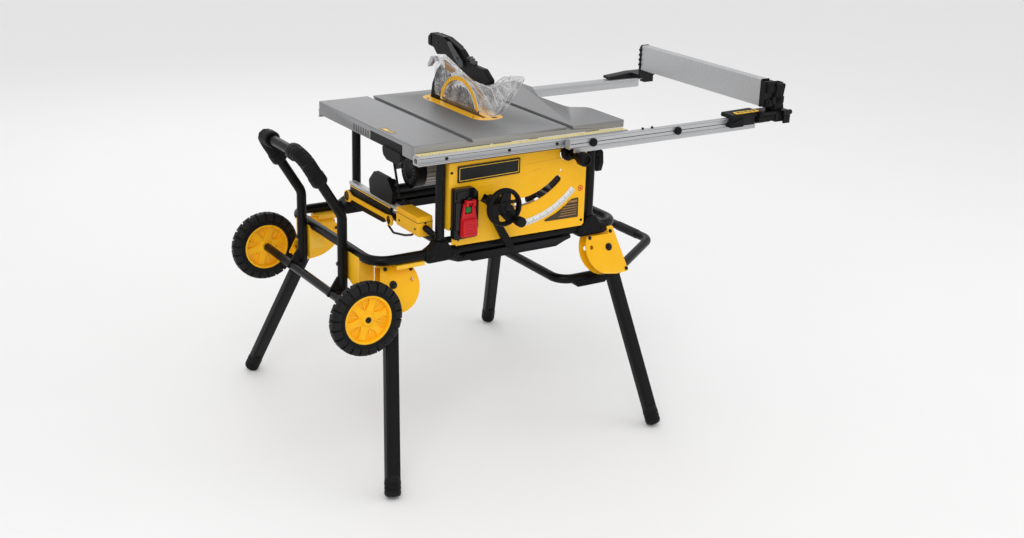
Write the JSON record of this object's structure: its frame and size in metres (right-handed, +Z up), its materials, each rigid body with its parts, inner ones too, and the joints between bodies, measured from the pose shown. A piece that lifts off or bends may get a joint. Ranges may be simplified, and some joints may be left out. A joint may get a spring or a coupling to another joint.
{
  "type": "table saw",
  "caption": "Jobsite table saw with telescoping rip fence, tilting riving-knife guard and front handwheel, on a folding stand with transport wheels.",
  "frame": {"origin": "centre of the bounding box's bottom face, on the floor", "axes": "+X to the operator's right along the fence rails, +Y from the operator's side to the outfeed side, +Z up"},
  "size_m": [1.4884, 0.9966, 1.0719],
  "materials": {
    "cast_grey": "cast and ground, satin",
    "satin_aluminium": "brushed satin",
    "yellow_paint": "powder coat, semi-gloss",
    "black_paint": "powder coat, satin",
    "black_plastic": "moulded, fine grain",
    "yellow_plastic": "moulded, semi-gloss",
    "red_plastic": "moulded",
    "green_plastic": "moulded",
    "clear_plastic": "clear polycarbonate",
    "bright_steel": "ground",
    "black_steel": "black oxide",
    "black_rubber": "moulded",
    "tyre_rubber": "moulded, lugged tread",
    "grey_cast": "as cast"
  },
  "bodies": {
    "saw_and_stand": {"table_top": "cast_grey", "throat_plate": "yellow_paint", "skirt_cover": "black_plastic", "fixed_front_rail": "satin_aluminium", "fixed_rear_rail": "satin_aluminium", "saw_frame": "black_paint", "front_panel": "yellow_paint", "switch_box": "black_plastic", "motor_cable": "black_rubber", "storage_box": "yellow_plastic", "storage_tube": "black_paint", "storage_bracket": "black_plastic", "stand_frame": "black_paint", "loop_handle": "black_paint", "handle_hoop": "black_paint", "hoop_plate_front": "yellow_paint", "hoop_plate_rear": "yellow_paint", "grip_front": "black_rubber", "grip_rear": "black_rubber", "bracket_front_left": "yellow_paint", "bracket_front_right": "yellow_paint", "bracket_rear_left": "yellow_paint", "bracket_rear_right": "yellow_paint"},
    "tilt_carriage": {"tilt_cradle": "grey_cast"},
    "lift_carriage": {"arbor_housing": "grey_cast", "motor_housing": "cast_grey", "blade_shroud": "black_plastic", "riving_knife": "black_steel", "guard_arm": "black_plastic", "guard_latch": "satin_aluminium"},
    "blade": {"saw_blade": "bright_steel", "arbor_nut": "bright_steel"},
    "left_guard": {"left_side_guard": "clear_plastic"},
    "right_guard": {"right_side_guard": "clear_plastic"},
    "pawls": {"kickback_pawls": "bright_steel"},
    "height_wheel": {"handwheel": "black_plastic"},
    "crank": {"crank_knob": "black_plastic"},
    "bevel_lever": {"bevel_lock_lever": "black_plastic"},
    "rails": {"moving_front_rail": "satin_aluminium", "moving_rear_rail": "satin_aluminium"},
    "fence": {"fence_bar": "satin_aluminium", "fence_head": "black_plastic", "fence_rear_clamp": "black_plastic"},
    "fence_clip": {"fence_latch": "black_plastic"},
    "pinion": {"pinion_shaft": "black_plastic"},
    "rail_lever": {"rail_lock_lever": "black_plastic"},
    "paddle": {"stop_paddle": "red_plastic"},
    "button": {"start_button": "green_plastic"},
    "miter_gauge": {"miter_bar": "satin_aluminium", "miter_head": "black_plastic"},
    "stick": {"push_stick": "yellow_plastic"},
    "wheel_front": {"tyre_front": "tyre_rubber", "hub_front": "yellow_plastic"},
    "wheel_rear": {"tyre_rear": "tyre_rubber", "hub_rear": "yellow_plastic"},
    "leg_front_left": {"leg_front_left": "black_paint"},
    "leg_front_right": {"leg_front_right": "black_paint"},
    "leg_rear_left": {"leg_rear_left": "black_paint"},
    "leg_rear_right": {"leg_rear_right": "black_paint"}
  },
  "joints": [
    {"name": "bevel_tilt", "type": "hinge", "parent": "saw_and_stand", "child": "tilt_carriage", "pos_m": [-0.16285, 0.01, 0.881], "axis": [0, -1, 0], "range_deg": [0, 45]},
    {"name": "blade_height", "type": "slide", "parent": "tilt_carriage", "child": "lift_carriage", "axis": [0, 0, 1], "range_m": [-0.075, 0.015]},
    {"name": "blade_spin", "type": "hinge", "parent": "lift_carriage", "child": "blade", "pos_m": [-0.16285, 0.028, 0.818], "axis": [1, 0, 0], "continuous": true},
    {"name": "left_guard_lift", "type": "slide", "parent": "lift_carriage", "child": "left_guard", "axis": [0, 0, 1], "range_m": [-0.0151, 0.0751]},
    {"name": "right_guard_lift", "type": "slide", "parent": "lift_carriage", "child": "right_guard", "axis": [0, 0, 1], "range_m": [-0.0151, 0.0751]},
    {"name": "pawl_drop", "type": "hinge", "parent": "lift_carriage", "child": "pawls", "pos_m": [-0.16285, 0.176, 0.993], "axis": [-1, 0, 0], "range_deg": [0, 22]},
    {"name": "handwheel_turn", "type": "hinge", "parent": "tilt_carriage", "child": "height_wheel", "pos_m": [-0.24685, -0.33, 0.702], "axis": [0, 1, 0], "range_deg": [-2402, 482]},
    {"name": "crank_knob_spin", "type": "hinge", "parent": "height_wheel", "child": "crank", "pos_m": [-0.22185, -0.38, 0.67], "axis": [0, 1, 0], "continuous": true},
    {"name": "bevel_lock", "type": "hinge", "parent": "tilt_carriage", "child": "bevel_lever", "pos_m": [-0.24685, -0.296, 0.702], "axis": [0, -1, 0], "range_deg": [-20, 20]},
    {"name": "rails_slide", "type": "slide", "parent": "saw_and_stand", "child": "rails", "axis": [1, 0, 0], "range_m": [-0.44, 0]},
    {"name": "fence_lift", "type": "slide", "parent": "rails", "child": "fence", "axis": [0, 0, 1], "range_m": [0, 0.1]},
    {"name": "fence_latch_swing", "type": "hinge", "parent": "fence", "child": "fence_clip", "pos_m": [0.71815, -0.372, 0.866], "axis": [-1, 0, 0], "range_deg": [0, 60]},
    {"name": "adjust_knob_turn", "type": "hinge", "parent": "saw_and_stand", "child": "pinion", "pos_m": [-0.00285, -0.03, 0.806], "axis": [0, 1, 0], "range_deg": [-2102, 2]},
    {"name": "rail_lock", "type": "hinge", "parent": "saw_and_stand", "child": "rail_lever", "pos_m": [0.12415, -0.252, 0.782], "axis": [-1, 0, 0], "range_deg": [0, 80]},
    {"name": "stop_paddle_lift", "type": "hinge", "parent": "saw_and_stand", "child": "paddle", "pos_m": [-0.32785, -0.3105, 0.717], "axis": [-1, 0, 0], "range_deg": [0, 60]},
    {"name": "start_button_press", "type": "slide", "parent": "saw_and_stand", "child": "button", "axis": [0, 1, 0], "range_m": [0, 0.0015], "stiffness_N_per_m": 300},
    {"name": "miter_gauge_lift", "type": "slide", "parent": "saw_and_stand", "child": "miter_gauge", "axis": [0, 0, 1], "range_m": [0, 0.1]},
    {"name": "push_stick_off", "type": "slide", "parent": "saw_and_stand", "child": "stick", "axis": [-1, 0, 0], "range_m": [0, 0.08]},
    {"name": "fold_front_left", "type": "hinge", "parent": "saw_and_stand", "child": "leg_front_left", "pos_m": [-0.52785, -0.24, 0.494], "axis": [0, -0.9037, 0.4281], "range_deg": [0, 100]},
    {"name": "fold_rear_left", "type": "hinge", "parent": "saw_and_stand", "child": "leg_rear_left", "pos_m": [-0.52785, 0.24, 0.494], "axis": [0, -0.9037, -0.4281], "range_deg": [0, 100]},
    {"name": "fold_front_right", "type": "hinge", "parent": "saw_and_stand", "child": "leg_front_right", "pos_m": [0.14715, -0.278, 0.507], "axis": [0, 0.9388, -0.3444], "range_deg": [0, 97]},
    {"name": "fold_rear_right", "type": "hinge", "parent": "saw_and_stand", "child": "leg_rear_right", "pos_m": [0.14715, 0.278, 0.507], "axis": [0, 0.9388, 0.3444], "range_deg": [0, 97]},
    {"name": "wheel_spin_front", "type": "hinge", "parent": "saw_and_stand", "child": "wheel_front", "pos_m": [-0.64285, -0.326, 0.453], "axis": [0, 1, 0], "continuous": true},
    {"name": "wheel_spin_rear", "type": "hinge", "parent": "saw_and_stand", "child": "wheel_rear", "pos_m": [-0.64285, 0.326, 0.453], "axis": [0, 1, 0], "continuous": true}
  ],
  "couplings": [
    {"joint": "handwheel_turn", "follows": "blade_height", "rad_per_m": 558.5},
    {"joint": "left_guard_lift", "follows": "blade_height", "ratio": -1},
    {"joint": "right_guard_lift", "follows": "blade_height", "ratio": -1},
    {"joint": "adjust_knob_turn", "follows": "rails_slide", "rad_per_m": 83.333}
  ]
}
